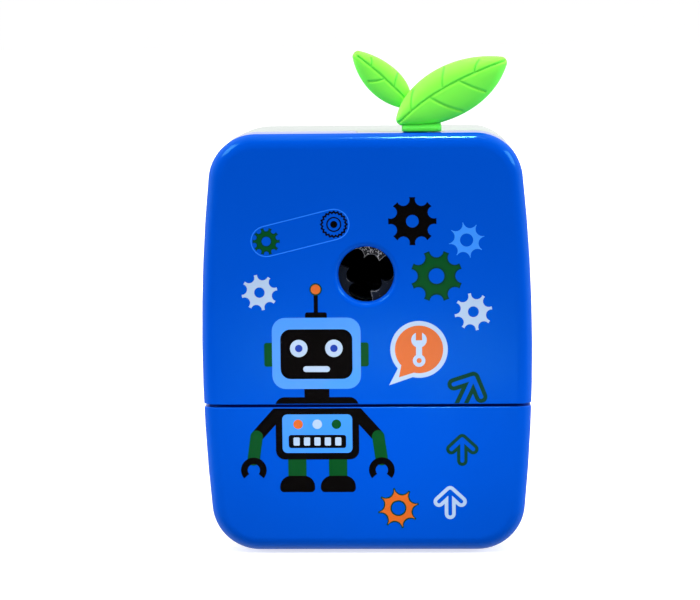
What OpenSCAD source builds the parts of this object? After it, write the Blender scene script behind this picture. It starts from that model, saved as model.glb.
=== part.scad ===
// Hand-cranked desk pencil sharpener with a sprung front plate, a jaw lever and a shavings drawer.
// Millimetres. +X right, +Y back, +Z up. The origin is on the table, under the middle of the object.

/* [Front] */
// Widest width of the front
front_w = 79; // [75:0.5:84]
// Height of the top edge above the table
top_z = 101.5; // [100:0.5:103]
// Height of the casing's underside above the table
bottom_z = 0.8; // [0.6:0.1:1.2]
// Height of the drawer front's top edge
split_z = 36.1; // [35:0.1:37]
// Gap between the drawer front and the front plate
split_gap = 0.65; // [0.4:0.05:1]
// Depth of the front plate and of the drawer front
front_depth = 10; // [10:0.1:10.2]
// Thickness of the front wall
front_wall = 2.4; // [2.2:0.1:2.6]
// Rounding of the front edge
edge_r = 3.4; // [2:0.2:4]

/* [Pencil hole] */
// Height of the pencil axis
hole_z = 68; // [67:0.5:69]
// Diameter of the hole
hole_d = 13.2; // [12:0.2:13.4]
// Diameter of the bevel around the hole
bevel_d = 16; // [15:0.5:17]

/* [Body] */
// Depth at which the body casing starts, from the front face
body_front = 10.6; // [10.4:0.1:10.8]
// Depth of the body casing's back face, from the front face
body_back = 74; // [73:0.5:76]
// Wall of the casings
wall = 2.2; // [2:0.1:2.4]
// Radius of the casing's crown from front to back
crown_r = 750; // [600:10:900]

/* [Motion] */
// How far the front plate pulls out
feed_travel = 30; // [20:1:34]
// Angle of the lever at rest, to the right of upright
lever_rest = 21; // [20:0.5:22]
// Angle that the lever swings to the left
lever_swing = 16.5; // [12:0.5:17]
// Angle that each jaw opens
jaw_swing = 14.5; // [10:0.5:15]

/* [Crank] */
// Distance from the shaft to the knob
crank_r = 42; // [36:1:46]
// Depth of the knob's end, from the front face
total_depth = 108; // [104:1:112]

/* [Cutter] */
// Tilt of the cutter to the pencil axis
cutter_tilt = 9.3; // [8:0.1:10]
// Radius of the cutter
cutter_r = 6.5; // [6:0.1:6.6]
// Teeth of the fixed ring gear
ring_teeth = 26; // [26:1:26]
// Teeth of the cutter's pinion
pinion_teeth = 14; // [14:1:14]

/* [Hidden] */
$fn = 64;
front_y = -total_depth / 2;
eps = 0.01;

// outline of the front: two long side arcs and four rounded corners
side_r = 400;
side_mid_z = 49;
top_corner_r = 11.3;
bottom_corner_r = 11.5;
corner_steps = 6;
side_steps = 3;

// front plate and its mechanism, as depths from the front face
plate_bottom = split_z + split_gap;
jaw_front = 3;
jaw_back = 5.6;
ring_front = 6.2;
ring_back = 8.2;
cover_front = 8.6;
jaw_count = 3;
jaw_phase = 78;
pivot_r = 17;
pivot_angle = -55;
pivot_boss_r = 3.1;
jaw_pin_r = 1.5;
pin_front = 1.2;
drive_pin_r = 1.2;
drive_pin = [13.6, -1.5];
slot_steps = 8;
slot_clear = 0.15;
ring_in_r = 8.9;
ring_out_r = 21;
guide_tube_r = 8.8;
cover_r = 22.5;
cover_hole_r = 7.3;
post_r = 2.8;
post_ring_r = 26;
post_angles = [40, 140, 220, 320];
arm_w = 7;
arm_front = 5.4;
arm_back = 6.6;
arm_foot_r = 20.2;
arm_lug_r = 24;
arm_tip_r = 36.6;
notch_x = [-2.2, 18.6];
notch_front = 5.1;
tongue_front = 6.9;
neck_x = [8.7, 18.1];
neck_front = 2.6;
neck_back = 8.6;
neck_z = [33.65, 38];
tab_angle = 262;
tab_tip_r = 26.6;
tab_w = 3.6;
return_spring_r = 24.5;
spring_stop = [17.5, 20.5];

// guide rods and feed springs
rod_x = 28.5;
rod_r = 2.5;
rod_front = 3.4;
rod_back = 69;
rod_boss_r = 4.2;
rod_boss_back = 8.2;
clip_front = 66.5;
clip_r = 3.6;
bush_front = 11.7;
bush_back = 17;
bush_r = 4;
feed_coil_r = 3.55;
feed_wire_r = 0.42;
fit = 0.05;
screw_r = 1.1;

// bulkhead and body casing; rear_draw is how far the inside draws in and rises extra at the back
rim_inset = 0.2;
back_edge_r = 7;
back_wall_front = body_back - wall;
bulkhead_front = 12.5;
bulkhead_back = 15;
bulkhead_bottom = 37.7;
collar_back = 20.8;
collar_in_r = 16.2;
collar_out_r = 18.6;
pencil_way_r = 7.5;
rear_draw = [1.2, 2];
casing_posts = [[32.4, 90], [34, 42.5]];
casing_post_r = 3.4;
casing_post_back = 30;
foot_r = 5;
foot_h = 1.3;
foot_x = 24;
foot_depths = [20, 62];

// turning parts
shaft_r = 4;
disc_r = 16;
disc_front = 17;
disc_back = 20.2;
rear_disc_front = 52.2;
rear_disc_back = 55.4;
rear_disc_r = 13.5;
cage_in_r = 8;
cage_out_r = 11.4;
hub_r = 7;
hub_back = 61;
axle_r = 1.5;
mesh_depth = 49;
mesh_offset = 6;
cutter_front = 21.4;
cutter_back = 45.6;
pinion_half = 1.5;
gear_front = 46.9;
gear_back = 51;
gear_out_r = 17.5;
housing_in_r = 15;
flange_front = 69.5;
flange_r = 23;
flange_screw_r = 20;
shaft_bush_r = 6.5;
shaft_bush_flange_r = 8.5;
shaft_bush_front = 69.8;
crank_front = 76.2;
crank_back = 84;
crank_plate = [78.4, 83.4];
arm_boss_r = 8;
knob_boss_r = 6.6;
knob_axle_r = 2.5;
knob_r = 8.4;

// drawer
bin_front = 2.6;
bin_back = 67;
bin_wall = 1.6;
bin_gap = 0.7;
bin_floor = 3.3;
bin_top = 32;

// ---- functions ----

function polar(r, a) = [r * cos(a), r * sin(a)];
function turned(p, a) = [p[0] * cos(a) - p[1] * sin(a), p[0] * sin(a) + p[1] * cos(a)];

// points of an arc about a centre
function arc(centre, r, from, to, steps) =
    [for (k = [0:steps]) centre + polar(r, from + (to - from) * k / steps)];

// the casing's outline in X and Z, moved in by inset, with its underside raised by lift
function outline(inset, lift) =
    let (
        side_x = front_w / 2 - side_r,
        rt = top_corner_r - inset,
        rb = bottom_corner_r - inset,
        zt = top_z - inset - rt,
        zb = bottom_z + lift + rb,
        xt = side_x + sqrt(pow(side_r - inset - rt, 2) - pow(zt - side_mid_z, 2)),
        xb = side_x + sqrt(pow(side_r - inset - rb, 2) - pow(zb - side_mid_z, 2)),
        at = asin((zt - side_mid_z) / (side_r - inset - rt)),
        ab = asin((zb - side_mid_z) / (side_r - inset - rb)),
        right = concat(
            arc([xb, zb], rb, -90, ab, corner_steps),
            [for (k = [1:side_steps - 1])
                [side_x, side_mid_z] + polar(side_r - inset, ab * (1 - k / side_steps))],
            [[front_w / 2 - inset, side_mid_z]],
            [for (k = [1:side_steps - 1])
                [side_x, side_mid_z] + polar(side_r - inset, at * k / side_steps)],
            arc([xt, zt], rt, at, 90, corner_steps)
        ),
        n = len(right)
    )
    concat(right, [for (k = [1:n]) [-right[n - k][0], right[n - k][1]]]);

// how far the crowned casing has drawn in at a depth from the front face
function drawn_in(depth) = rim_inset + pow(max(0, depth - body_front), 2) / (2 * crown_r);

// outline of a gear, or of the spaces of a ring gear; widths are shares of the pitch
function teeth_points(count, root_r, tip_r, root_w, tip_w) = [
    for (k = [0:count - 1])
        for (c = [[-root_w, root_r], [-tip_w, tip_r], [tip_w, tip_r], [root_w, root_r]])
            polar(c[1], 360 / count * (k + c[0] / 2))
];

function bezier(a, b, c, d, steps) = [
    for (k = [0:steps])
        let (t = k / steps, u = 1 - t)
        u * u * u * a + 3 * u * u * t * b + 3 * u * t * t * c + t * t * t * d
];

// where a jaw's drive pin lies on the cam ring when the jaw is a share of the way open
jaw_pivot = polar(pivot_r, pivot_angle);
function pin_on_ring(share) =
    turned(jaw_pivot + turned(drive_pin - jaw_pivot, -jaw_swing * share), -lever_swing * share);

// ---- shared shapes ----

// moves a shape drawn by its depth from the front face to its place
module from_front() translate([0, front_y, 0]) children();

// extrudes a shape drawn in X and Z between two depths
module between(d0, d1) translate([0, d1, 0]) rotate([90, 0, 0]) linear_extrude(d1 - d0) children();

// a round bar along Y; r1 is its radius at d0 and r2 at d1
module bar(x, z, d0, d1, r1, r2) {
    translate([x, d1, z]) rotate([90, 0, 0]) cylinder(h = d1 - d0, r1 = r2, r2 = r1);
}

module rod(x, z, d0, d1, r) bar(x, z, d0, d1, r, r);

module tube(x, z, d0, d1, r_out, r_in) difference() {
    rod(x, z, d0, d1, r_out);
    rod(x, z, d0 - 1, d1 + 1, r_in);
}

module slice(depth, inset, lift) between(depth, depth + eps) polygon(outline(inset, lift));

// the front's solid outer shape, with its rounded front edge
module front_block() hull() {
    for (a = [0:22.5:90])
        slice(edge_r * (1 - cos(a)), edge_r * (1 - sin(a)), edge_r * (1 - sin(a)));
    slice(front_depth - eps, 0, 0);
}

// keeps what lies between two heights
module height_band(z0, z1) intersection() {
    children();
    translate([-front_w, -1, z0]) cube([2 * front_w, total_depth, z1 - z0]);
}

// a pan-head screw along Y whose head faces the front when dir is -1 and the back when it is 1
module screw(x, z, face, shank, dir) {
    head_r = 2.1;
    head_h = 0.8;
    recess = 0.5;
    near = min(face, face + dir * head_h);
    far = min(face, face - dir * shank);
    difference() {
        rod(x, z, near, near + head_h, head_r);
        for (a = [0, 90])
            translate([x, face + dir * head_h, z]) rotate([0, a, 0])
                cube([2.4, 2 * recess, 0.5], center = true);
    }
    rod(x, z, far, far + shank, screw_r);
}

// a helical spring of round wire, from z = 0 to z = length
module coil(length, turns, coil_r, wire_r) {
    per_turn = 12;
    sides = 5;
    steps = turns * per_turn;
    rise = (length - 2 * wire_r) / steps;
    points = [
        for (i = [0:steps], j = [0:sides - 1])
            let (a = 360 * i / per_turn, b = 360 * j / sides, r = coil_r + wire_r * cos(b))
            [r * cos(a), r * sin(a), wire_r * (1 + sin(b)) + rise * i]
    ];
    skin = [
        for (i = [0:steps - 1], j = [0:sides - 1])
            let (k = i * sides, n = (j + 1) % sides)
            each [[k + j, k + sides + j, k + n], [k + n, k + sides + j, k + sides + n]]
    ];
    first = [for (j = [0:sides - 1]) j];
    last = [for (j = [sides - 1:-1:0]) steps * sides + j];
    polyhedron(points, concat([first], skin, [last]), convexity = 10);
}

// ---- front plate and jaws ----

module face_plate() color("royalblue") from_front() difference() {
    union() {
        difference() {
            height_band(plate_bottom, top_z + 1) front_block();
            between(front_wall, front_depth + 1) intersection() {
                polygon(outline(wall, wall));
                translate([-front_w, plate_bottom + wall]) square([2 * front_w, top_z]);
            }
        }
        for (side = [-1, 1]) rod(side * rod_x, hole_z, front_wall - eps, rod_boss_back, rod_boss_r);
        for (k = [0:jaw_count - 1]) {
            p = polar(pivot_r, pivot_angle + jaw_phase + k * 360 / jaw_count);
            rod(p[0], hole_z + p[1], front_wall - eps, jaw_front - 0.1, pivot_boss_r);
        }
        for (a = post_angles) {
            p = polar(post_ring_r, a);
            rod(p[0], hole_z + p[1], front_wall - eps, cover_front, post_r);
        }
        translate([spring_stop[0], front_wall - eps, hole_z - return_spring_r - 3])
            cube([spring_stop[1] - spring_stop[0], ring_back - front_wall, 6]);
    }
    rod(0, hole_z, -1, front_wall + 1, hole_d / 2);
    bar(0, hole_z, 0, (bevel_d - hole_d) / 2, bevel_d / 2, hole_d / 2);
    for (side = [-1, 1]) rod(side * rod_x, hole_z, rod_front - 0.1, rod_boss_back + 1, rod_r + fit);
    for (k = [0:jaw_count - 1]) {
        p = polar(pivot_r, pivot_angle + jaw_phase + k * 360 / jaw_count);
        rod(p[0], hole_z + p[1], pin_front - 0.1, jaw_front, jaw_pin_r + fit);
    }
    for (a = post_angles) {
        p = polar(post_ring_r, a);
        rod(p[0], hole_z + p[1], 4, cover_front + 1, screw_r + fit);
    }
    translate([notch_x[0], notch_front, top_z - wall - 1])
        cube([notch_x[1] - notch_x[0], front_depth, wall + 2]);
}

module jaw_cover() color("dimgray") from_front() difference() {
    union() {
        rod(0, hole_z, cover_front, front_depth, cover_r);
        rod(0, hole_z, jaw_back + 0.3, cover_front + eps, guide_tube_r);
        for (a = post_angles) {
            p = polar(post_ring_r, a);
            rod(p[0], hole_z + p[1], cover_front, front_depth, post_r + 0.8);
            translate([0, cover_front, hole_z]) rotate([0, -a, 0]) translate([cover_r - 3, 0, -post_r])
                cube([post_ring_r - cover_r + 3, front_depth - cover_front, 2 * post_r]);
        }
    }
    rod(0, hole_z, -1, front_depth + 1, cover_hole_r);
    for (a = post_angles) {
        p = polar(post_ring_r, a);
        rod(p[0], hole_z + p[1], -1, front_depth + 1, screw_r + fit);
    }
}

module cover_screws() color("silver") from_front() for (a = post_angles) {
    p = polar(post_ring_r, a);
    screw(p[0], hole_z + p[1], front_depth, 5, 1);
}

// one jaw, drawn with its teeth to the right of the pencil axis
module jaw_shape() {
    difference() {
        union() {
            between(jaw_front, jaw_back) difference() {
                polygon([
                    [4.9, 4.2], [3.5, 1.3], [3.6, -2.4], [5.3, -3.8], [6.8, -7.2], [6.9, -12.8],
                    [12.2, -15.6], [14.6, -10.5], [16.3, -3.6], [16, 0.6], [14.2, 2.8], [9.6, 5.2]
                ]);
                translate([3.7, 2.99]) circle(1.7);
                translate([2.85, -0.55]) circle(1.96);
            }
            rod(jaw_pivot[0], jaw_pivot[1], jaw_front, jaw_back, pivot_boss_r);
        }
        rod(jaw_pivot[0], jaw_pivot[1], 0, jaw_back + 1, jaw_pin_r + fit);
    }
    rod(drive_pin[0], drive_pin[1], jaw_back - eps, ring_back - 0.2, drive_pin_r);
}

module jaw(number) color("black") from_front() translate([0, 0, hole_z])
    rotate([0, -jaw_phase - (number - 1) * 360 / jaw_count, 0]) jaw_shape();

module jaw_1() jaw(1);
module jaw_2() jaw(2);
module jaw_3() jaw(3);

module jaw_pins() color("silver") from_front() for (k = [0:jaw_count - 1]) {
    p = polar(pivot_r, pivot_angle + jaw_phase + k * 360 / jaw_count);
    rod(p[0], hole_z + p[1], pin_front, jaw_back + 0.3, jaw_pin_r);
}

// the lever arm's outline, standing radially at its rest angle
module arm_outline(w, r0, r1) rotate(-lever_rest) translate([-w / 2, r0]) square([w, r1 - r0]);

module cam_ring() color("gainsboro") from_front() translate([0, 0, hole_z]) {
    ring_plate();
    between(arm_front, arm_back) arm_outline(arm_w, arm_foot_r, arm_tip_r);
}

// the ring itself, with its slots, its spring tab and the lug that carries the thin lever arm
module ring_plate() difference() {
    between(ring_front, ring_back) difference() {
        union() {
            circle(ring_out_r);
            arm_outline(arm_w, ring_out_r - 3, arm_lug_r);
            rotate(tab_angle) translate([ring_out_r - 3, -tab_w / 2])
                square([tab_tip_r - ring_out_r + 3, tab_w]);
        }
        for (k = [0:jaw_count - 1]) rotate(jaw_phase + k * 360 / jaw_count) drive_slot();
    }
    rod(0, 0, 0, front_depth, ring_in_r);
}

// the slot that a jaw's drive pin slides along as the ring turns
module drive_slot() {
    r = drive_pin_r + slot_clear;
    middle = [for (k = [0:slot_steps]) pin_on_ring(k / slot_steps)];
    normals = [
        for (k = [0:slot_steps])
            let (d = middle[min(k + 1, slot_steps)] - middle[max(k - 1, 0)])
            r * [d[1], -d[0]] / norm(d)
    ];
    polygon(concat(
        [for (k = [0:slot_steps]) middle[k] + normals[k]],
        [for (k = [slot_steps:-1:0]) middle[k] - normals[k]]
    ));
    translate(middle[0]) circle(r);
    translate(middle[slot_steps]) circle(r);
}

big_leaf = concat(
    bezier([7.2, 35.4], [7.4, 43.2], [18.5, 53.2], [33.6, 51], 12),
    bezier([33.6, 51], [30.5, 37], [14, 33.2], [7.2, 35.4], 12)
);
small_leaf = concat(
    bezier([9.5, 38.4], [3, 41.4], [-2.4, 46], [-3, 52.9], 10),
    bezier([-3, 52.9], [3.5, 53.2], [9, 49], [11.6, 43.4], 10)
);

module leaf_lever() color("limegreen") from_front() translate([0, 0, hole_z]) difference() {
    union() {
        between(3.5, 8.5) polygon(big_leaf);
        between(5.4, 9.2) polygon(small_leaf);
        between(neck_front, neck_back)
            translate([neck_x[0], neck_z[0]]) square([neck_x[1] - neck_x[0], neck_z[1] - neck_z[0]]);
    }
    between(arm_front - fit, arm_back + fit) arm_outline(arm_w + 2 * fit, ring_out_r, arm_tip_r + fit);
}

// the compression spring between the ring's tab and the stop on the front plate
module ring_spring() color("silver") from_front() {
    tab_face = polar(return_spring_r, tab_angle)[0] + tab_w / 2 + 0.3;
    translate([tab_face, (ring_front + ring_back) / 2, hole_z - return_spring_r])
        rotate([0, 90, 0]) coil(spring_stop[0] - 0.1 - tab_face, 10, 1.5, 0.28);
}

// ---- guide rods and feed springs ----

module guide_rod(side) color("silver") from_front() {
    rod(side * rod_x, hole_z, rod_front, clip_front, rod_r);
    rod(side * rod_x, hole_z, clip_front - eps, rod_back, rod_r - 0.6);
}

module guide_rod_left() guide_rod(-1);
module guide_rod_right() guide_rod(1);

module rod_clips() color("silver") from_front() for (side = [-1, 1])
    tube(side * rod_x, hole_z, clip_front, clip_front + 1.6, clip_r, rod_r - 0.6 + fit);

module feed_spring(side) color("silver") from_front()
    translate([side * rod_x, clip_front - 0.1, hole_z]) rotate([90, 0, 0])
        coil(clip_front - bush_back - 0.2, 12, feed_coil_r, feed_wire_r);

module feed_spring_left() feed_spring(-1);
module feed_spring_right() feed_spring(1);

module guide_bushes() color("ivory") from_front() for (side = [-1, 1]) difference() {
    union() {
        rod(side * rod_x, hole_z, bulkhead_front - eps, bush_back, bush_r);
        rod(side * rod_x, hole_z, bush_front, bulkhead_front, bush_r + 1.2);
    }
    rod(side * rod_x, hole_z, 0, body_back, rod_r + fit);
}

// ---- body ----

module body_shell() color("white") from_front() difference() {
    union() {
        difference() {
            hull() {
                for (k = [0:4]) {
                    d = body_front + (body_back - back_edge_r - body_front) * k / 4;
                    slice(d, drawn_in(d), 0);
                }
                for (a = [30:30:90]) {
                    d = body_back - back_edge_r * (1 - sin(a));
                    round_in = back_edge_r * (1 - cos(a));
                    slice(d - eps, drawn_in(d) + round_in, round_in);
                }
            }
            hull() {
                for (k = [0:4]) {
                    d = body_front - 1 + (back_wall_front - body_front + 1) * k / 4;
                    more = pow(k / 4, 3) * rear_draw;
                    slice(d - eps, drawn_in(d) + wall + more[0], wall + more[1]);
                }
            }
        }
        for (side = [-1, 1]) for (p = casing_posts)
            rod(side * p[0], p[1], bulkhead_back, casing_post_back, casing_post_r);
        // the tongue that closes the lever's notch in the front plate from behind
        translate([notch_x[0] + 0.3, tongue_front, top_z - rim_inset - wall + 0.2])
            cube([notch_x[1] - notch_x[0] - 0.6, body_front - tongue_front + 1, wall - 0.2]);
    }
    for (side = [-1, 1]) for (p = casing_posts)
        rod(side * p[0], p[1], bulkhead_back - 1, casing_post_back - 4, screw_r + fit);
    rod(0, hole_z, back_wall_front - 1, body_back + 1, shaft_bush_r + fit);
    for (side = [-1, 1]) for (d = foot_depths)
        translate([side * foot_x, d, bottom_z - 1]) cylinder(h = foot_h - bottom_z + 1, r = foot_r + fit);
    for (a = [45:90:315]) {
        p = polar(flange_screw_r, a);
        rod(p[0], hole_z + p[1], back_wall_front - 1, body_back - 0.7, screw_r + fit);
    }
}

module rubber_feet() color("dimgray") from_front() for (side = [-1, 1]) for (d = foot_depths)
    translate([side * foot_x, d, 0]) cylinder(h = foot_h - fit, r = foot_r);

module bulkhead() color("whitesmoke") from_front() difference() {
    union() {
        between(bulkhead_front, bulkhead_back) intersection() {
            polygon(outline(wall + 0.45, wall + 0.45));
            translate([-front_w, bulkhead_bottom]) square([2 * front_w, top_z]);
        }
        rod(0, hole_z, bulkhead_back - eps, collar_back, collar_out_r);
    }
    rod(0, hole_z, 0, body_back, pencil_way_r);
    rod(0, hole_z, disc_front - 0.3, body_back, collar_in_r);
    for (side = [-1, 1]) {
        rod(side * rod_x, hole_z, 0, body_back, bush_r + fit);
        for (p = casing_posts) rod(side * p[0], p[1], 0, body_back, screw_r + fit);
    }
}

module bulkhead_screws() color("silver") from_front() for (side = [-1, 1]) for (p = casing_posts)
    screw(side * p[0], p[1], bulkhead_front, 10, -1);

module gear_housing() color("gainsboro") from_front() translate([0, 0, hole_z]) difference() {
    union() {
        rod(0, 0, gear_front, back_wall_front - 0.1, gear_out_r);
        rod(0, 0, flange_front, back_wall_front - 0.1, flange_r);
    }
    between(gear_front - 1, gear_back + eps) rotate(-90)
        polygon(teeth_points(ring_teeth, 12.3, 14.2, 0.7, 0.3));
    rod(0, 0, gear_back, body_back, housing_in_r);
    for (a = [45:90:315]) {
        p = polar(flange_screw_r, a);
        rod(p[0], p[1], 0, body_back, screw_r + fit);
    }
}

module housing_screws() color("silver") from_front() for (a = [45:90:315]) {
    p = polar(flange_screw_r, a);
    screw(p[0], hole_z + p[1], flange_front, 3.4, -1);
}

module shaft_bush() color("peru") from_front() difference() {
    union() {
        rod(0, hole_z, shaft_bush_front, body_back + eps, shaft_bush_r);
        rod(0, hole_z, body_back, body_back + 1.2, shaft_bush_flange_r);
    }
    rod(0, hole_z, 0, total_depth, shaft_r + fit);
}

// ---- turning parts ----

// puts a shape drawn along +Z from the middle of the gear mesh onto the tilted cutter axis
module on_cutter_axis() from_front() translate([0, mesh_depth, hole_z - mesh_offset])
    rotate([-90 + cutter_tilt, 0, 0]) children();

// distances along the cutter axis for a depth from the front face
function along(depth) = (depth - mesh_depth) / cos(cutter_tilt);

module cutter_carrier() color("dimgray") difference() {
    from_front() difference() {
        union() {
            rod(0, hole_z, disc_front, disc_back, disc_r);
            translate([0, 0, hole_z]) intersection() {
                tube(0, 0, disc_back - eps, rear_disc_front + eps, cage_out_r, cage_in_r);
                between(0, body_back) polygon([[0, 0], polar(30, 20), [0, 30], polar(30, 160)]);
            }
            rod(0, hole_z, rear_disc_front, rear_disc_back, rear_disc_r);
            rod(0, hole_z, rear_disc_back - eps, hub_back, hub_r);
        }
        rod(0, hole_z, 0, disc_back + 1, hole_d / 2 - 0.3);
        rod(0, hole_z, rear_disc_back, total_depth, shaft_r + fit);
    }
    on_cutter_axis() translate([0, 0, -50]) cylinder(h = 100, r = axle_r + fit);
}

module helical_cutter() color("lightslategray") on_cutter_axis() difference() {
    translate([0, 0, along(cutter_front)])
        linear_extrude(along(cutter_back) - along(cutter_front), twist = 70, slices = 14)
            polygon(teeth_points(12, cutter_r - 0.7, cutter_r, 0.62, 0.12));
    translate([0, 0, -50]) cylinder(h = 100, r = axle_r + fit);
}

module cutter_pinion() color("silver") on_cutter_axis() rotate(90) difference() {
    union() {
        translate([0, 0, -pinion_half]) linear_extrude(2 * pinion_half)
            polygon(teeth_points(pinion_teeth, 5.8, 7.8, 0.56, 0.22));
        translate([0, 0, along(cutter_back) + 0.1]) cylinder(h = -along(cutter_back) - 0.1, r = 4);
    }
    translate([0, 0, -50]) cylinder(h = 100, r = axle_r + fit);
}

module cutter_axle() color("silver") on_cutter_axis()
    translate([0, 0, along(disc_front)]) cylinder(h = along(rear_disc_back) - along(disc_front), r = axle_r);

module crank_shaft() color("silver") from_front() difference() {
    rod(0, hole_z, rear_disc_back + 0.1, crank_back - 3, shaft_r);
    rod(0, hole_z, crank_back - 14, crank_back, screw_r + fit);
}

module shaft_clip() color("silver") from_front()
    tube(0, hole_z, shaft_bush_front - 1.1, shaft_bush_front - 0.2, shaft_bush_r - 0.5, shaft_r + fit);

module crank_arm() color("white") from_front() difference() {
    union() {
        rod(0, hole_z, crank_front, crank_back, arm_boss_r);
        rod(0, hole_z - crank_r, crank_plate[0] - 0.6, crank_plate[1] + 0.3, knob_boss_r);
        between(crank_plate[0], crank_plate[1]) polygon([
            [-arm_boss_r + 1.4, hole_z], [-knob_boss_r + 1.2, hole_z - crank_r],
            [knob_boss_r - 1.2, hole_z - crank_r], [arm_boss_r - 1.4, hole_z]
        ]);
    }
    rod(0, hole_z, 0, crank_back - 2.9, shaft_r + fit);
    rod(0, hole_z, 0, crank_back + 1, screw_r + fit);
    rod(0, hole_z, crank_back - 1.2, crank_back + 1, 4.4);
    rod(0, hole_z - crank_r, 0, total_depth, knob_axle_r + fit);
}

module crank_screw() color("silver") from_front() screw(0, hole_z, crank_back - 1.2, 10, 1);

module knob_axle() color("silver") from_front() {
    rod(0, hole_z - crank_r, crank_plate[0] - 0.6, total_depth - 3.6, knob_axle_r);
    rod(0, hole_z - crank_r, total_depth - 3.6 - eps, total_depth - 2.2, knob_axle_r + 1.3);
    rod(0, hole_z - crank_r, crank_plate[0] - 1.8, crank_plate[0] - 0.6 + eps, knob_axle_r + 1.3);
}

// the knob's profile: radius against distance from its front end
function knob_profile(length) = concat(
    [[knob_axle_r + fit, 0]],
    bezier([6, 0], [6.4, 7], [knob_r + 0.9, 9], [knob_r - 0.3, length - 5], 8),
    arc([knob_r - 4, length - 4], 4, 15, 90, 5),
    [[knob_axle_r + 1.7, length], [knob_axle_r + 1.7, length - 4], [knob_axle_r + fit, length - 4]]
);

module crank_knob() color("limegreen") from_front() {
    length = total_depth - crank_back - 0.1;
    translate([0, crank_back + 0.1, hole_z - crank_r]) rotate([-90, 0, 0])
        rotate_extrude() polygon(knob_profile(length));
}

// ---- drawer ----

module drawer_front() color("royalblue") from_front() difference() {
    height_band(0, split_z) front_block();
    between(front_wall, front_depth + 1) intersection() {
        polygon(outline(wall, wall));
        translate([-front_w, 0]) square([2 * front_w, split_z - wall]);
    }
}

module drawer_bin() color("whitesmoke") from_front() height_band(0, bin_top) difference() {
    hull() for (k = [0:4]) {
        d = bin_front + (bin_back - eps - bin_front) * k / 4;
        more = pow(k / 4, 3) * rear_draw;
        slice(d, drawn_in(d) + wall + bin_gap + more[0], bin_floor - bottom_z + more[1]);
    }
    hull() for (k = [0:4]) {
        d = bin_front + bin_wall + (bin_back - 2 * bin_wall - eps - bin_front) * k / 4;
        more = pow(k / 4, 3) * rear_draw;
        slice(d, drawn_in(d) + wall + bin_gap + bin_wall + more[0], bin_floor - bottom_z + bin_wall + more[1]);
    }
}

face_plate();
jaw_cover();
jaw_1();
jaw_2();
jaw_3();
jaw_pins();
cam_ring();
leaf_lever();
ring_spring();
cover_screws();
guide_rod_left();
guide_rod_right();
rod_clips();
feed_spring_left();
feed_spring_right();
body_shell();
bulkhead();
guide_bushes();
bulkhead_screws();
gear_housing();
housing_screws();
cutter_carrier();
helical_cutter();
cutter_pinion();
cutter_axle();
crank_shaft();
shaft_bush();
shaft_clip();
crank_arm();
crank_screw();
knob_axle();
crank_knob();
drawer_front();
drawer_bin();
rubber_feet();
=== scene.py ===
"""Looks of the desk pencil sharpener.

A glossy printed front, a white crowned casing, a sprout-shaped lever and a crank. The shapes are made in
millimetres, with depth measured back from the front face, and scaled to metres when they are placed.
"""

import math

import bmesh
import bpy
from mathutils import Matrix, Vector


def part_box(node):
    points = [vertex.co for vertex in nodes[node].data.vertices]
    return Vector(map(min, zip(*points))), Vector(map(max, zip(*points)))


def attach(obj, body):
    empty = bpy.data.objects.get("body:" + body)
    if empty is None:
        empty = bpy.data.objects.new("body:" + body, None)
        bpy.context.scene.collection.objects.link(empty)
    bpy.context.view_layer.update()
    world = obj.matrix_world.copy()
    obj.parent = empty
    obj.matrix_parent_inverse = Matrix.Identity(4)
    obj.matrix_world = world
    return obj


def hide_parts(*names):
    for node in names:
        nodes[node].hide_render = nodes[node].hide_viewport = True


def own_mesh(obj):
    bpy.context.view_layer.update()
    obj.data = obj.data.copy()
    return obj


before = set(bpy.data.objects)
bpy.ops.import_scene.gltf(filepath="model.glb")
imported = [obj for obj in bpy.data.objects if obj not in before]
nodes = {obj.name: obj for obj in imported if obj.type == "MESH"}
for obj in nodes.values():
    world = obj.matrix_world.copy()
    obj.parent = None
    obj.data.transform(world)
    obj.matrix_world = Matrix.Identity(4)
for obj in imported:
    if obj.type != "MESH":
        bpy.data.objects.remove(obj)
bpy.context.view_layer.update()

# ---- measures, in millimetres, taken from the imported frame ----

MM = 0.001
SIDES = ((-1, "left"), (1, "right"))


def mm_box(node):
    """Lowest and highest corners of a CAD node in millimetres."""
    low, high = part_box(node)
    return low / MM, high / MM


plate_low, plate_high = mm_box("face_plate")
drawer_low, drawer_high = mm_box("drawer_front")
rod_low, rod_high = mm_box("guide_rod_right")
knob_low, knob_high = mm_box("crank_knob")

FRONT_Y = plate_low.y
HALF_W = plate_high.x
TOP_Z = plate_high.z
BOTTOM_Z = drawer_low.z
SPLIT_Z = drawer_high.z
PLATE_BOTTOM = plate_low.z
FRONT_DEPTH = plate_high.y - FRONT_Y
HOLE_Z = (rod_low.z + rod_high.z) / 2
ROD_X = (rod_low.x + rod_high.x) / 2
KNOB_Z = (knob_low.z + knob_high.z) / 2

# the front's shape
SKIN = 0.06  # the moulded face lies this far behind the frame's, and the ink fills the rest
EDGE_R = 4.16
EDGE_TURN = 60.0  # degrees, to a crease where the front edge meets the flat sides
WALL = 2.2
FRONT_WALL = 2.4
BOSS_ROOT = FRONT_WALL - 0.2  # bosses start inside the wall
SIDE_R = 400.0
SIDE_MID_Z = 49.0  # where the bulging sides are widest
TOP_CORNER_R = 11.3
BOTTOM_CORNER_R = 11.5
HOLE_R = 6.6
RIM_R = 1.5
NOTCH_X = (-2.2, 18.6)  # in the plate's top, for the lever's neck
NOTCH_DEPTH = 5.1
CUT_ROUNDING = 0.3  # of the edges where the plate and the drawer meet
ON_CUT = 1e-4  # points this close to a cut's height lie on it

# the casing's shape
BODY_FRONT = 10.6
BODY_BACK = 74.0
BACK_EDGE_R = 7.0
CROWN_R = 750.0  # the casing narrows towards the back on this curve
RIM_INSET = 0.2
FOOT_X = 24.0
FOOT_DEPTHS = (20.0, 62.0)


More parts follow.
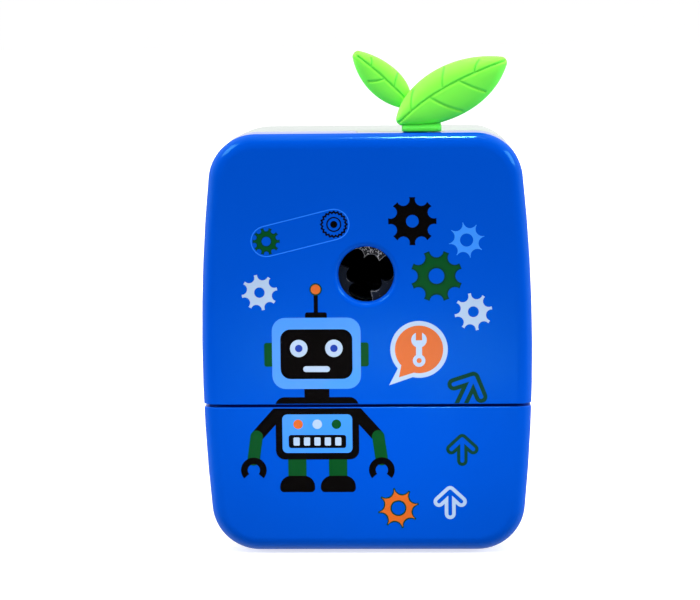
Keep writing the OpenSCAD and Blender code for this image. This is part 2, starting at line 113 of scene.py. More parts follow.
def from_front(depth):
    """Y of a depth behind the front face, in millimetres."""
    return FRONT_Y + depth


# ---- curves and outlines ----


def polar(radius, degrees):
    angle = math.radians(degrees)
    return Vector((radius * math.cos(angle), radius * math.sin(angle)))


def arc(x, z, radius, start, end, steps):
    return [Vector((x, z)) + polar(radius, start + (end - start) * k / steps) for k in range(steps + 1)]


def bezier(a, b, c, d, steps):
    corners = [Vector(p) for p in (a, b, c, d)]
    path = []
    for k in range(steps + 1):
        t = k / steps
        u = 1 - t
        weights = (u**3, 3 * u * u * t, 3 * u * t * t, t**3)
        path.append(sum((w * p for w, p in zip(weights, corners)), Vector((0, 0))))
    return path


def outline(inset, lift):
    """The casing's outline in X and Z, moved in by inset, with its underside raised by lift."""
    corner_steps, side_steps = 14, 8
    side_x = HALF_W - SIDE_R
    top_r, bottom_r = TOP_CORNER_R - inset, BOTTOM_CORNER_R - inset
    corners = []
    for radius, z in ((bottom_r, BOTTOM_Z + lift + bottom_r), (top_r, TOP_Z - inset - top_r)):
        reach = SIDE_R - inset - radius
        angle = math.degrees(math.asin((z - SIDE_MID_Z) / reach))
        corners.append((side_x + reach * math.cos(math.radians(angle)), z, radius, angle))
    bottom, top = corners
    right = arc(*bottom[:3], -90, bottom[3], corner_steps)
    right += arc(side_x, SIDE_MID_Z, SIDE_R - inset, bottom[3], top[3], side_steps)[1:-1]
    right += arc(*top, 90, corner_steps)
    return right + [Vector((-p.x, p.y)) for p in reversed(right)]


def drawn_in(depth):
    """How far the crowned casing has drawn in at a depth."""
    return RIM_INSET + max(0.0, depth - BODY_FRONT) ** 2 / (2 * CROWN_R)


def circle(x, z, radius, steps=40):
    return arc(x, z, radius, 0, 360, steps)[:-1]


def round_rect(x0, z0, x1, z1, radii):
    """A rectangle with rounded corners; radii are bottom left, bottom right, top right, top left."""
    if not isinstance(radii, tuple):
        radii = (radii,) * 4
    bl, br, tr, tl = radii
    points = arc(x0 + bl, z0 + bl, bl, 180, 270, 6) + arc(x1 - br, z0 + br, br, 270, 360, 6)
    return points + arc(x1 - tr, z1 - tr, tr, 0, 90, 6) + arc(x0 + tl, z1 - tl, tl, 90, 180, 6)


def capsule(a, b, radius):
    a, b = Vector(a), Vector(b)
    heading = math.degrees(math.atan2(b.y - a.y, b.x - a.x))
    first = arc(a.x, a.y, radius, heading + 90, heading + 270, 12)
    return first + arc(b.x, b.y, radius, heading - 90, heading + 90, 12)


def arc_through(a, b, c, steps):
    """Points of the circular arc from a through b to c."""
    d = 2 * (a.x * (b.y - c.y) + b.x * (c.y - a.y) + c.x * (a.y - b.y))
    squares = [p.length_squared for p in (a, b, c)]
    x = (squares[0] * (b.y - c.y) + squares[1] * (c.y - a.y) + squares[2] * (a.y - b.y)) / d
    z = (squares[0] * (c.x - b.x) + squares[1] * (a.x - c.x) + squares[2] * (b.x - a.x)) / d
    start = math.degrees(math.atan2(a.y - z, a.x - x))
    end = math.degrees(math.atan2(c.y - z, c.x - x))
    while end > start:
        end -= 360
    return arc(x, z, (a - Vector((x, z))).length, start, end, steps)


def gear(x, z, tip_r, root_r, teeth, tip_width, turn):
    """A printed gear whose flat-tipped teeth have round valleys between them."""
    half = math.degrees(tip_width / 2 / tip_r)
    step = 360 / teeth
    loop = []
    for k in range(teeth):
        start, end = turn + k * step + half, turn + (k + 1) * step - half
        middle = polar(root_r, (start + end) / 2)
        loop += arc_through(polar(tip_r, start), middle, polar(tip_r, end), 8)
    return [Vector((x, z)) + p for p in loop]


# ---- meshes ----


def new_object(name, mesh):
    made = bpy.data.objects.new(name, mesh)
    bpy.context.scene.collection.objects.link(made)
    return made


def opened(mesh):
    work = bmesh.new()
    work.from_mesh(mesh)
    return work


def save(work, mesh):
    """Writes an opened mesh back with its normals turned outwards."""
    bmesh.ops.recalc_face_normals(work, faces=work.faces)
    work.to_mesh(mesh)
    work.free()


def mesh_object(name, points, faces):
    mesh = bpy.data.meshes.new(name)
    mesh.from_pydata([tuple(p) for p in points], [], faces)
    save(opened(mesh), mesh)
    return new_object(name, mesh)


def loft(name, rings, looped=False):
    """A closed skin over rings of equal length; looped joins the last ring to the first."""
    count = len(rings[0])
    points = [p for ring in rings for p in ring]
    faces = []
    for k in range(len(rings) if looped else len(rings) - 1):
        a, b = k * count, (k + 1) % len(rings) * count
        for i in range(count):
            j = (i + 1) % count
            faces.append((a + i, a + j, b + j, b + i))
    if not looped:
        faces.append(tuple(range(count)))
        faces.append(tuple(range((len(rings) - 1) * count, len(rings) * count)))
    return mesh_object(name, points, faces)


def flat_ring(depth, loop):
    return [Vector((p.x, from_front(depth), p.y)) for p in loop]


def turned(name, profile, x, z, steps=64):
    """A solid of revolution about an axis along Y; the profile is a list of (radius, depth)."""
    rings = [[Vector((x, from_front(d), z)) + Vector((p.x, 0, p.y)) for p in circle(0, 0, r, steps)]
             for r, d in profile]
    return loft(name, rings)


def box(name, x_range, depths, z_range):
    corners = [(x, from_front(depth), z) for x in x_range for depth in depths for z in z_range]
    faces = [(0, 1, 3, 2), (4, 6, 7, 5), (0, 4, 5, 1), (2, 3, 7, 6), (0, 2, 6, 4), (1, 5, 7, 3)]
    return mesh_object(name, corners, faces)


def combine(piece, others, operation="DIFFERENCE"):
    """Cuts the others from the piece, or joins them to it, and removes them."""
    for other in others:
        step = piece.modifiers.new("step", "BOOLEAN")
        step.operation = operation
        step.solver = "EXACT"
        step.object = other
    cut = bpy.data.meshes.new_from_object(piece.evaluated_get(bpy.context.evaluated_depsgraph_get()))
    piece.modifiers.clear()
    piece.data = cut
    for other in others:
        bpy.data.objects.remove(other)
    return piece


def join(parts):
    """Joins separate closed meshes into the first one."""
    work = bmesh.new()
    for part in parts:
        work.from_mesh(part.data)
    work.to_mesh(parts[0].data)
    work.free()
    for part in parts[1:]:
        bpy.data.objects.remove(part)
    return parts[0]


def keep_side(piece, height, side, bevel=0):
    """Keeps what lies above (side 1) or below (side -1) a height, and rounds the cut's edge."""
    work = opened(piece.data)
    everything = work.verts[:] + work.edges[:] + work.faces[:]
    cut = bmesh.ops.bisect_plane(
        work, geom=everything, plane_co=(0, 0, height), plane_no=(0, 0, -side), clear_outer=True
    )
    edges = [e for e in cut["geom_cut"] if isinstance(e, bmesh.types.BMEdge)]
    if edges:
        bmesh.ops.holes_fill(work, edges=edges)
    if bevel:
        rim = [e for e in work.edges if all(abs(v.co.z - height) < ON_CUT for v in e.verts)]
        bmesh.ops.bevel(work, geom=rim, offset=bevel, segments=3, profile=0.5, affect="EDGES")
    save(work, piece.data)
    return piece


def smooth(piece, degrees=32):
    piece.data.shade_smooth()
    piece.data.set_sharp_from_angle(angle=math.radians(degrees))
    piece.modifiers.new("even_normals", "WEIGHTED_NORMAL").keep_sharp = True
    return piece


def place(piece, body, material, replaced=()):
    """Scales a finished piece to metres, gives it its body and material, and hides the nodes it replaces."""
    piece.data.transform(Matrix.Scale(MM, 4))
    piece.data.materials.clear()
    piece.data.materials.append(material)
    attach(piece, body)
    if replaced:
        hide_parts(*replaced)
    return piece


# ---- materials ----


def linear(*channels):
    """A linear colour from display values of 0 to 255."""
    values = []
    for channel in channels:
        c = channel / 255
        values.append(c / 12.92 if c <= 0.04045 else ((c + 0.055) / 1.055) ** 2.4)
    return tuple(values)


def darker(colour, share):
    return tuple(c * share for c in colour)


class Surface:
    """A procedural material that is built up from noise in the object's own space."""

    def __init__(self, name, **settings):
        self.material = bpy.data.materials.new(name)
        self.material.use_nodes = True
        self.tree = self.material.node_tree
        self.shader = self.tree.nodes["Principled BSDF"]
        self.place = self.tree.nodes.new("ShaderNodeTexCoord").outputs["Object"]
        for socket, value in settings.items():
            if isinstance(value, tuple):
                value = (*value, 1.0)
            self.shader.inputs[socket.replace("_", " ")].default_value = value

    def link(self, source, target):
        self.tree.links.new(source, target)

    def node(self, kind, **settings):
        """A new node; a setting names one of its own values or one of its inputs."""
        made = self.tree.nodes.new(kind)
        for key, value in settings.items():
            if hasattr(made, key):
                setattr(made, key, value)
            else:
                made.inputs[key.replace("_", " ")].default_value = value
        return made

    def noise(self, scale, detail=3.0, stretch=None):
        made = self.node("ShaderNodeTexNoise", Scale=scale, Detail=detail)
        source = self.place
        if stretch:
            mapping = self.node("ShaderNodeMapping", Scale=stretch)
            self.link(source, mapping.inputs["Vector"])
            source = mapping.outputs["Vector"]
        self.link(source, made.inputs["Vector"])
        return made.outputs["Fac"]

    def remap(self, value, low, high, start=0.3, end=0.7):
        """The value's range from start to end, spread from low to high."""
        made = self.node("ShaderNodeMapRange", From_Min=start, From_Max=end, To_Min=low, To_Max=high)
        self.link(value, made.inputs["Value"])
        return made.outputs["Result"]

    def maths(self, operation, first, second):
        made = self.node("ShaderNodeMath", operation=operation)
        self.link(first, made.inputs[0])
        self.link(second, made.inputs[1])
        return made.outputs["Value"]

    def mixed(self, value, first, second):
        """A mix of first and second, each a colour or another mix."""
        made = self.node("ShaderNodeMix", data_type="RGBA")
        for socket, colour in ((made.inputs[6], first), (made.inputs[7], second)):
            if isinstance(colour, tuple):
                socket.default_value = (*colour, 1.0)
            else:
                self.link(colour, socket)
        self.link(value, made.inputs[0])
        return made.outputs[2]

    def colours(self, value, first, second):
        self.link(self.mixed(value, first, second), self.shader.inputs["Base Color"])

    def roughness(self, value, low, high):
        self.link(self.remap(value, low, high), self.shader.inputs["Roughness"])

    def bump(self, value, height):
        made = self.node("ShaderNodeBump", Distance=height)
        self.link(value, made.inputs["Height"])
        self.link(made.outputs["Normal"], self.shader.inputs["Normal"])


WHITE_LIGHT = (1.0, 1.0, 1.0)


def plastic(
    name, colour, rough, spread=0.04, grain=900.0, height=0.00001, shift=0.04, gloss=0.5, tint=WHITE_LIGHT
):
    """Moulded plastic: faint tone drift, a fine grain and uneven gloss."""
    made = Surface(name, IOR=1.5, Specular_IOR_Level=gloss, Specular_Tint=tint)
    made.colours(made.remap(made.noise(28.0, 2.0), 0, 1), darker(colour, 1 - shift), colour)
    made.roughness(made.noise(160.0, 4.0), rough - spread / 2, rough + spread / 2)
    made.bump(made.noise(grain, 4.0), height)
    return made.material


def metal(name, colour, rough, stretch, height=0.000006, grain=900.0):
    """Worked metal whose marks run along one direction."""
    made = Surface(name, Metallic=1.0)
    marks = made.noise(grain, 5.0, stretch)
    made.colours(made.remap(marks, 0, 1), darker(colour, 0.82), colour)
    made.roughness(marks, rough * 0.75, rough * 1.3)
    made.bump(marks, height)
    return made.material


def black_jaw(name, base, wear_and_highlight_colour, specks, patches):
    """Blackened metal with bright specks in its grain that are painted glints, and edges painted bright,
    partly wear and partly a painted highlight, all along or in patches.
    """
    made = Surface(name, Metallic=0.5)
    grain = made.noise(2600.0, 6.0)
    rounded = made.node("ShaderNodeBevel", samples=6, Radius=0.00035)
    facing = made.node("ShaderNodeNewGeometry")
    dot = made.node("ShaderNodeVectorMath", operation="DOT_PRODUCT")
    made.link(rounded.outputs["Normal"], dot.inputs[0])
    made.link(facing.outputs["Normal"], dot.inputs[1])
    # the edges get the bright colour: partly wear, partly a painted highlight
    wear_and_highlight = made.remap(dot.outputs["Value"], 1, 0, 0.82, 0.985)
    if patches:
        wear_and_highlight = made.maths("MULTIPLY", wear_and_highlight, made.remap(made.noise(420.0, 3.0), 0, 1, 0.5, 0.6))
    # bright specks in the grain are painted glints
    bright = made.remap(grain, 0, 1, specks, specks + 0.08)
    made.colours(made.maths("MAXIMUM", wear_and_highlight, bright), base, wear_and_highlight_colour)
    made.roughness(grain, 0.35, 0.6)
    made.bump(grain, 0.00005)
    return made.material


def leaf_green(name, painted_shade_below, low, painted_light_above, groove_painted_shade):
    """Soft-touch green with painted shade on faces turned down, painted light on faces turned up, and
    painted shade in the vein grooves.
    """
    made = Surface(
        name, IOR=1.45, Subsurface_Weight=0.15, Subsurface_Scale=0.002, Sheen_Weight=0.1, Sheen_Roughness=0.5
    )
    facing = made.node("ShaderNodeSeparateXYZ")
    made.link(made.node("ShaderNodeNewGeometry").outputs["Normal"], facing.inputs["Vector"])
    upward = facing.outputs["Z"]
    # painted shade on faces turned down and painted light on faces turned up, by the height of the face's
    # normal
    under = made.mixed(made.remap(upward, 0, 1, -0.95, -0.3), painted_shade_below, low)
    body = made.mixed(made.remap(upward, 0, 1, -0.3, 0.3), under, painted_light_above)
    # painted shade in the vein grooves, from the leaf's groove marks
    veins = made.node("ShaderNodeAttribute", attribute_name="groove_painted_shade")
    made.colours(veins.outputs["Fac"], body, groove_painted_shade)
    made.roughness(made.noise(300.0, 4.0), 0.5, 0.6)
    made.bump(made.noise(2200.0, 4.0), 0.00001)
    return made.material


blue_plastic = plastic(
    "blue_gloss", (0.0, 0.075, 0.585), 0.1, spread=0.03, grain=420.0, height=0.000003, gloss=0.45,
    tint=(0.15, 0.85, 1.0)
)
white_plastic = plastic("white_satin", (0.36, 0.395, 0.375), 0.32, grain=1500.0, height=0.000012)
# The leaf's greens paint shade on its underside and light on its top, and shade in its veins.
green_soft = leaf_green(
    "leaf_green", painted_shade_below=(0.03, 0.72, 0.05), low=(0.15, 1.0, 0.065), painted_light_above=(0.26, 0.96, 0.06),
    groove_painted_shade=(0.11, 0.82, 0.045)
)
# The neck's darker copy of the leaf's green is painted shade from the leaf above it.
neck_green_painted_shade = leaf_green(
    "neck_green_painted_shade", painted_shade_below=(0.005, 0.36, 0.03), low=(0.03, 0.52, 0.04), painted_light_above=(0.06, 0.6, 0.04),
    groove_painted_shade=(0.03, 0.5, 0.03)
)
green_plastic = plastic("green_satin", (0.16, 0.86, 0.06), 0.3)
dark_plastic = plastic("dark_matte", (0.01, 0.01, 0.012), 0.6, height=0.00002, gloss=0.15)
grey_plastic = plastic("grey_matte", (0.27, 0.29, 0.31), 0.45, height=0.00002)
ivory_plastic = plastic("ivory_bush", (0.7, 0.64, 0.5), 0.4)
rubber = plastic("foot_rubber", (0.02, 0.02, 0.022), 0.75, grain=1800.0, height=0.00003)
steel = metal("turned_steel", (0.5, 0.51, 0.53), 0.22, (1.0, 14.0, 1.0))
spring_steel = metal("spring_wire", (0.42, 0.43, 0.46), 0.28, (3.0, 3.0, 3.0))
zinc = metal("bright_zinc", (0.62, 0.64, 0.68), 0.16, (2.0, 2.0, 2.0), grain=500.0)
cutter_steel = metal("ground_cutter", (0.12, 0.12, 0.135), 0.3, (6.0, 1.0, 6.0))
bronze = metal("sintered_bronze", (0.42, 0.22, 0.08), 0.4, (1.0, 1.0, 1.0), height=0.00002)
# Lit and shaded copies of one jaw material: the top jaw's brighter specks and edges are painted light, and
# the other jaws' darker look is painted shade.
lit_worn_jaw = black_jaw(
    "lit_worn_jaw", base=(0.03, 0.03, 0.03), wear_and_highlight_colour=(1.0, 1.0, 1.0), specks=0.55, patches=False
)
shaded_dark_jaw = black_jaw(
    "shaded_dark_jaw", base=(0.013, 0.02, 0.034), wear_and_highlight_colour=(0.8, 0.82, 0.85), specks=0.68, patches=True
)

# the carried-over nodes by their material, with the rounding of each one's edges
CAD_LOOKS = (
    (dark_plastic, {"jaw_cover": 0.2, "cutter_carrier": 0.25}),
    (lit_worn_jaw, {"jaw_1": 0.28}),
    (shaded_dark_jaw, {"jaw_2": 0.28, "jaw_3": 0.28}),
    (grey_plastic, {"cam_ring": 0.15, "gear_housing": 0.25}),
    (white_plastic, {"bulkhead": 0.0, "drawer_bin": 0.3}),
    (ivory_plastic, {"guide_bushes": 0.2}),
    (steel, {"jaw_pins": 0.15, "guide_rod_left": 0.3, "guide_rod_right": 0.3, "cutter_pinion": 0.08,
             "cutter_axle": 0.2, "crank_shaft": 0.3}),
    (zinc, {"cover_screws": 0.1, "rod_clips": 0.2, "bulkhead_screws": 0.1, "housing_screws": 0.1,
            "shaft_clip": 0.1, "crank_screw": 0.12, "knob_axle": 0.3}),
    (cutter_steel, {"helical_cutter": 0.0}),
    (bronze, {"shaft_bush": 0.25}),
    (rubber, {"rubber_feet": 0.4}),
)
FLAT_NODES = ("bulkhead",)  # its wide flat face shades cleanly only without smoothing
WELD_WITHIN = 0.002  # points this close become one


def dress_frame():
    """Materials and softened edges for the CAD nodes that stay in view."""
    looks = [(name, bevel, material) for material, names in CAD_LOOKS for name, bevel in names.items()]
    for name, bevel, material in looks:
        node = nodes[name]
        node.data.materials.clear()
        node.data.materials.append(material)
        if name in FLAT_NODES:
            continue
        node.data.shade_smooth()
        weld = node.modifiers.new("weld", "WELD")
        weld.merge_threshold = WELD_WITHIN * MM
        if bevel:
            edge = node.modifiers.new("edge", "BEVEL")
            edge.width = bevel * MM
            edge.segments = 3
            edge.limit_method = "ANGLE"
            edge.angle_limit = math.radians(38)
        node.modifiers.new("even_normals", "WEIGHTED_NORMAL").keep_sharp = False


# ---- front plate and drawer front ----


def front_block(name):
    """The front's solid shape, with its rounded front edge and a small rounding at the back."""
    rings = []
    turn = math.radians(EDGE_TURN)
    steps = 10
    for k in range(steps + 1):
        angle = turn * k / steps
        inset = EDGE_R * (math.sin(turn) - math.sin(angle))
        rings.append(flat_ring(SKIN + EDGE_R * (1 - math.cos(angle)), outline(inset, inset)))
    for inset, depth in ((0.0, FRONT_DEPTH - 0.35), (0.1, FRONT_DEPTH - 0.1), (0.35, FRONT_DEPTH)):
        rings.append(flat_ring(depth, outline(inset, inset)))
    return loft(name, rings)


def front_cavity(height, side):
    """The hollow behind the front wall, above (side 1) or below (side -1) a height."""
    rings = [flat_ring(d, outline(WALL, WALL)) for d in (FRONT_WALL, FRONT_DEPTH + 1)]
    return keep_side(loft("cavity", rings), height, side)


def make_face_plate():
    """The front plate, with a rounded rim at its hole, the lever's notch, and bosses behind."""
    plate = keep_side(front_block("front_plate_shell"), PLATE_BOTTOM, 1, CUT_ROUNDING)
    rim = [(HOLE_R + RIM_R + 2, -1.0), (HOLE_R + RIM_R + 0.05, SKIN - 0.05)]
    for angle in (math.radians(a) for a in range(6, 91, 7)):
        rim.append((HOLE_R + RIM_R * (1 - math.sin(angle)), SKIN + RIM_R * (1 - math.cos(angle))))
    rim += [(HOLE_R, BOSS_ROOT), (HOLE_R + 0.2, FRONT_WALL + 1)]
    notch = box("notch", NOTCH_X, (NOTCH_DEPTH, FRONT_DEPTH + 1), (TOP_Z - WALL - 1, TOP_Z + 1))
    cuts = [front_cavity(PLATE_BOTTOM + WALL, 1), turned("hole", rim, 0, HOLE_Z, 96), notch]
    combine(plate, cuts)
    rod_boss = [(4.2, BOSS_ROOT), (4.2, 7.9), (3.9, 8.2), (2.6, 8.2), (2.6, 3.3)]
    jaw_boss = [(3.1, BOSS_ROOT), (3.1, 2.9)]
    screw_boss = [(2.9, BOSS_ROOT), (2.8, 8.6)]
    parts = [plate] + [turned("boss", rod_boss, side * ROD_X, HOLE_Z, 40) for side in (-1, 1)]
    for profile, reach, angles in ((jaw_boss, 17, (23, 143, 263)), (screw_boss, 26, (40, 140, 220, 320))):
        for angle in angles:
            p = polar(reach, angle)
            parts.append(turned("boss", profile, p.x, HOLE_Z + p.y, 32))
    return join(parts + [box("stop", (17.5, 20.5), (BOSS_ROOT, 8.2), (HOLE_Z - 27.5, HOLE_Z - 21.5))])


def make_drawer_front():
    block = keep_side(front_block("drawer_front_shell"), SPLIT_Z, -1, CUT_ROUNDING)
    return combine(block, [front_cavity(SPLIT_Z - WALL, -1)])


# ---- casing ----


def make_casing():
    """The crowned casing, open in front, with a tongue under the lever's notch and posts inside."""
    front_edge = ((0.4, 0), (0.12, 0.1), (0, 0.4))
    rings = [flat_ring(BODY_FRONT + back, outline(RIM_INSET + inset, inset)) for inset, back in front_edge]
    crown_end, crown_steps = BODY_BACK - BACK_EDGE_R, 12
    for k in range(1, crown_steps + 1):
        depth = BODY_FRONT + (crown_end - BODY_FRONT) * k / crown_steps
        rings.append(flat_ring(depth, outline(drawn_in(depth), 0)))
    for k in range(1, 10):
        angle = math.radians(10 * k)
        depth = crown_end + BACK_EDGE_R * math.sin(angle)
        inset = BACK_EDGE_R * (1 - math.cos(angle))
        rings.append(flat_ring(depth, outline(drawn_in(depth) + inset, inset)))
    casing = loft("casing_shell", rings)
    inside, inside_steps = [], 10
    cavity_back = BODY_BACK - WALL
    for k in range(inside_steps + 1):
        share = k / inside_steps
        depth = BODY_FRONT - 1 + (cavity_back - BODY_FRONT + 1) * share
        inset, lift = drawn_in(depth) + WALL + 1.2 * share**3, WALL + 2 * share**3
        inside.append(flat_ring(depth, outline(inset, lift)))
    bush_r = 6.55
    cuts = [loft("inside", inside)]
    cuts.append(turned("bush_hole", [(bush_r, cavity_back - 2), (bush_r, BODY_BACK + 1)], 0, HOLE_Z))
    cuts += [foot_recess(side * FOOT_X, depth) for side in (-1, 1) for depth in FOOT_DEPTHS]
    combine(casing, cuts)
    tongue_x, tongue_z = (NOTCH_X[0] + 0.3, NOTCH_X[1] - 0.3), (TOP_Z - WALL, TOP_Z - RIM_INSET)
    tongue = box("tongue", tongue_x, (6.9, BODY_FRONT + 1), tongue_z)
    post = [(3.4, 15), (3.4, 29.6), (3.0, 30)]
    post_places = [(side * x, z) for side in (-1, 1) for x, z in ((32.4, 90), (34, 42.5))]
    return join([casing, tongue] + [turned("post", post, x, z, 32) for x, z in post_places])


def foot_recess(x, depth):
    foot = circle(0, 0, 5.05, 48)
    return loft("recess", [[Vector((x + p.x, depth + FRONT_Y + p.y, z)) for p in foot] for z in (-0.2, 1.3)])


# ---- crank ----

AXLE_BORE_R = 2.55


def make_crank_arm():
    """A tapered arm with rounded edges and a shallow pocket, between a hub and the knob's boss."""
    low, high, round_r = 78.4, 83.4, 1.3

    def plan(inset):
        hub_end = arc(0, HOLE_Z, 6.6 - inset, 0, 180, 24)
        return hub_end + arc(0, KNOB_Z, 5.4 - inset, 180, 360, 24)

    front, back = [], []
    for k in range(7):
        angle = math.radians(15 * k)
        loop = plan(round_r * (1 - math.sin(angle)))
        front.append(flat_ring(low + round_r * (1 - math.cos(angle)), loop))
        back.insert(0, flat_ring(high - round_r * (1 - math.cos(angle)), loop))
    crank = loft("crank_arm_cover", front + back)
    hub = [(7.0, 76.2), (7.7, 76.5), (8.0, 77.2), (8.0, 82.8), (7.8, 83.5), (7.1, 84.0)]
    boss = [(5.8, 77.8), (6.4, 78.0), (6.6, 78.6), (6.6, 83.0), (6.4, 83.5), (5.8, 83.7)]
    combine(crank, [turned("hub", hub, 0, HOLE_Z), turned("boss", boss, 0, KNOB_Z)], "UNION")
    pocket = []
    for depth, radius in ((82.6, 2.9), (82.75, 3.2), (84.0, 3.9)):
        upper_end = arc(0, HOLE_Z - 12.5, radius, 0, 180, 16)
        pocket.append(flat_ring(depth, upper_end + arc(0, KNOB_Z + 10.5, radius * 0.85, 180, 360, 16)))
    cuts = [loft("pocket", pocket)]
    for name, radius, start, end, z in (
        ("shaft_bore", 4.05, 75.0, 81.1, HOLE_Z), ("screw_bore", 1.15, 80.0, 85.0, HOLE_Z),
        ("screw_seat", 4.4, 82.8, 85.0, HOLE_Z), ("axle_bore", AXLE_BORE_R, 77.0, 85.0, KNOB_Z)
    ):
        cuts.append(turned(name, [(radius, start), (radius, end)], 0, z))
    return combine(crank, cuts)


def make_knob():
    """The grip: a waisted barrel with shallow flutes, bored for its axle."""
    start, length = knob_low.y - FRONT_Y, knob_high.y - knob_low.y
    seat_r, flutes, flute_depth, steps = 4.2, 12, 0.5, 144
    outer_r = 5.0  # only what lies further out than this is fluted
    flutes_start, flutes_end = 2.5, length - 5
    profile = [Vector(p) for p in ((AXLE_BORE_R, 0), (5.3, 0), (5.8, 0.15))]
    profile += bezier((6.0, 0.5), (6.4, 7.0), (9.3, 9.0), (8.1, length - 5), 40)
    profile += arc(4.4, length - 4, 4, 15, 90, 12)
    profile += [Vector(p) for p in ((seat_r, length - 0.1), (seat_r, length - 4), (AXLE_BORE_R, length - 4))]
    rings = []
    for p in profile:
        share = min(1.0, max(0.0, (p.y - flutes_start) / (flutes_end - flutes_start)))
        dent = flute_depth * math.sin(math.pi * share) ** 0.7 if p.x > outer_r and 0 < share < 1 else 0.0
        ring = []
        for k in range(steps):
            angle = 360 / steps * k
            radius = p.x - dent * (0.5 + 0.5 * math.cos(math.radians(flutes * angle))) ** 2
            around = polar(radius, angle)
            ring.append(Vector((around.x, from_front(start + p.y), KNOB_Z + around.y)))
        rings.append(ring)
    return loft("crank_grip", rings, looped=True)


# ---- springs ----


def spring(name, start, along, across, length, turns, coil_r, wire_r):
    """A compression spring whose end turns lie closed."""
    side_dir = along.cross(across)
    per_turn, sides, closed_turns = 28, 10, 1.2
    steps = int(turns * per_turn)
    closed = closed_turns / turns
    ends = 2 * wire_r * closed_turns / (length - 2 * wire_r)

    def rise(t):
        if t < closed:
            return ends * t / closed
        if t > 1 - closed:
            return 1 - ends * (1 - t) / closed
        return ends + (1 - 2 * ends) * (t - closed) / (1 - 2 * closed)

    rings = []
    for k in range(steps + 1):
        angle = 2 * math.pi * k / per_turn
        out = across * math.cos(angle) + side_dir * math.sin(angle)
        centre = start + out * coil_r + along * (wire_r + (length - 2 * wire_r) * rise(k / steps))
        ring = [centre + out * wire_r * math.cos(2 * math.pi * j / sides)
                + along * wire_r * math.sin(2 * math.pi * j / sides) for j in range(sides)]
        rings.append(ring)
    return smooth(loft(name, rings), 60)


def make_springs():
    for side, word in SIDES:
        low, high = mm_box(f"feed_spring_{word}")
        middle = Vector(((low.x + high.x) / 2, low.y, (low.z + high.z) / 2))
        length = high.y - low.y
        along, across = Vector((0, 1, 0)), Vector((side, 0, 0))
        coil = spring(f"feed_coil_{word}", middle, along, across, length, turns=12, coil_r=3.55, wire_r=0.42)
        place(coil, "casing", spring_steel, [f"feed_spring_{word}"])
        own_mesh(coil)
    low, high = mm_box("ring_spring")
    start = Vector((low.x, (low.y + high.y) / 2, (low.z + high.z) / 2))
    length = high.x - low.x
    along, across = Vector((1, 0, 0)), Vector((0, 0, 1))
    coil = spring("lever_return_coil", start, along, across, length, turns=10, coil_r=1.5, wire_r=0.28)
    place(coil, "front_plate", spring_steel, ["ring_spring"])
    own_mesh(coil)


# ---- sprout lever ----

# each leaf's upper edge, lower edge, rib and veins, as curves in X and Z from the middle of the hole
BIG_LEAF = (
    ((7.2, 35.4), (7.4, 43.2), (18.5, 53.2), (33.6, 51.0)),
    ((7.2, 35.4), (14.0, 33.2), (30.5, 37.0), (33.9, 50.4)),
    ((8.2, 35.8), (13.5, 41.5), (21.0, 46.0), (33.0, 50.2)),
    (
        ((11.0, 38.7), (10.9, 40.3), (11.0, 41.9), (11.45, 43.4)),
        ((18.3, 44.2), (18.2, 45.6), (18.4, 47.1), (18.8, 48.7)),
        ((25.9, 47.7), (26.0, 48.7), (26.3, 49.5), (27.0, 50.4)),
        ((15.3, 41.8), (17.3, 40.5), (20.0, 39.2), (23.0, 38.4)),
        ((22.1, 45.7), (24.0, 44.7), (26.2, 43.7), (28.4, 43.0)),
    ),
)
SMALL_LEAF = (
    ((10.6, 38.8), (12.9, 46.0), (4.0, 52.0), (-2.7, 53.0)),
    ((10.6, 38.8), (5.5, 39.0), (-1.6, 43.0), (-3.1, 52.0)),
    ((9.8, 41.2), (6.6, 44.4), (2.6, 48.4), (-1.6, 51.4)),
    (
        ((1.5, 49.2), (1.7, 49.8), (1.7, 50.4), (1.5, 51.0)),
        ((7.0, 44.0), (7.1, 45.2), (7.3, 46.2), (7.7, 47.2)),
        ((4.5, 46.1), (3.4, 45.6), (2.2, 45.4), (0.9, 45.5)),
    ),
)
LEAF_TIP_R = 1.3
LEAF_STEM_R = 1.5
LEAF_THINNING = 0.55  # a higher value thins the leaf sooner where it is narrow
LEAF_SECTION = (2.3, 0.62)  # powers that shape its section, between a lens and a pillow
VEIN_HALF_WIDTH = 0.23
VEIN_DEPTH = 0.3


def resample(path, count):
    """The path as count points spaced evenly along it."""
    lengths = [0.0]
    for a, b in zip(path, path[1:]):
        lengths.append(lengths[-1] + (b - a).length)
    points, k = [], 0
    for i in range(count):
        target = lengths[-1] * i / (count - 1)
        while k < len(path) - 2 and lengths[k + 1] < target:
            k += 1
        span = lengths[k + 1] - lengths[k]
        share = (target - lengths[k]) / span if span else 0.0
        points.append(path[k].lerp(path[k + 1], min(1.0, share)))
    return points


def trimmed(path, cut):
    """The path shortened by a length at its end."""
    path = list(path)
    while len(path) > 2 and (path[-1] - path[-2]).length < cut:
        cut -= (path[-1] - path[-2]).length
        path.pop()
    step = path[-1] - path[-2]
    path[-1] = path[-1] - step.normalized() * min(cut, step.length * 0.95)
    return path


def round_tip(first, second, radius):
    """Rounds the point where two paths end, and returns both paths up to the new tip."""
    tip = first[-1].lerp(second[-1], 0.5)
    a = (trimmed(first, radius)[-1] - tip).normalized()
    b = (trimmed(second, radius)[-1] - tip).normalized()
    half = a.angle(b) / 2
    centre = tip + (a + b).normalized() * (radius / math.sin(half))
    apex = centre + (tip - centre).normalized() * radius
    rounded = []
    for path in (first, second):
        path = trimmed(path, radius / math.tan(half))
        start = path[-1] - centre
        turn = start.angle_signed(apex - centre)
        for k in range(1, 9):
            share = k / 8
            length = start.length + (radius - start.length) * share
            spun = start.normalized()
            spun.rotate(Matrix.Rotation(-turn * share, 2))
            path.append(centre + spun * length)
        rounded.append(path)
    return rounded


